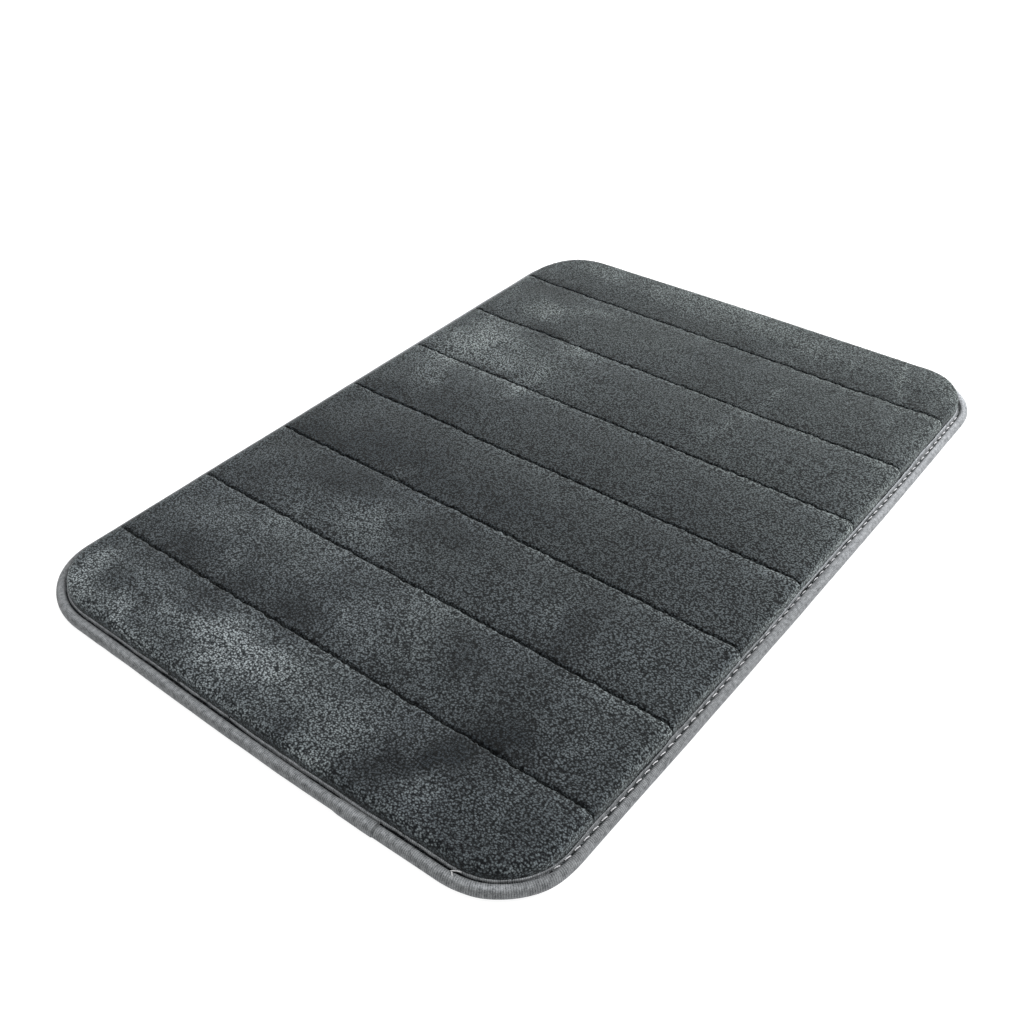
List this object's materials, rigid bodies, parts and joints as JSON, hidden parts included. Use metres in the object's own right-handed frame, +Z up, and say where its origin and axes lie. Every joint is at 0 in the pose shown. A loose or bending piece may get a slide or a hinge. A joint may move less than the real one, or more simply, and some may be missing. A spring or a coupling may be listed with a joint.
{
  "type": "bath mat",
  "caption": "Rectangular padded bath mat: foam slab quilted in cross panels under a short plush cover, dotted anti-slip backing, edge bound in folded woven tape.",
  "frame": {"origin": "middle of the underside, on the plane that the mat rests on", "axes": "+X along the mat's length, across the quilted channels; +Y along its width, along the channels; +Z up through the pile"},
  "size_m": [0.6, 0.4, 0.016],
  "materials": {
    "plush": "short dense plush pile, slate grey",
    "foam": "open-cell slow-recovery polyurethane foam, cream",
    "backing": "warp-knitted polyester mesh, dark grey",
    "dots": "soft vinyl, satin, dark grey",
    "tape": "ribbed woven polyester tape, mid grey",
    "light_thread": "twisted polyester thread, pale grey",
    "dark_thread": "twisted polyester thread, charcoal"
  },
  "bodies": {
    "root": {"pile_cover": "plush", "foam_core": "foam", "backing_mesh": "backing", "grip_dots": "dots", "edge_binding": "tape", "binding_needle_thread": "light_thread", "binding_bobbin_thread": "light_thread", "quilt_needle_thread_1": "dark_thread", "quilt_needle_thread_2": "dark_thread", "quilt_needle_thread_3": "dark_thread", "quilt_needle_thread_4": "dark_thread", "quilt_needle_thread_5": "dark_thread", "quilt_needle_thread_6": "dark_thread", "quilt_needle_thread_7": "dark_thread", "quilt_bobbin_thread_1": "dark_thread", "quilt_bobbin_thread_2": "dark_thread", "quilt_bobbin_thread_3": "dark_thread", "quilt_bobbin_thread_4": "dark_thread", "quilt_bobbin_thread_5": "dark_thread", "quilt_bobbin_thread_6": "dark_thread", "quilt_bobbin_thread_7": "dark_thread"}
  },
  "joints": []
}
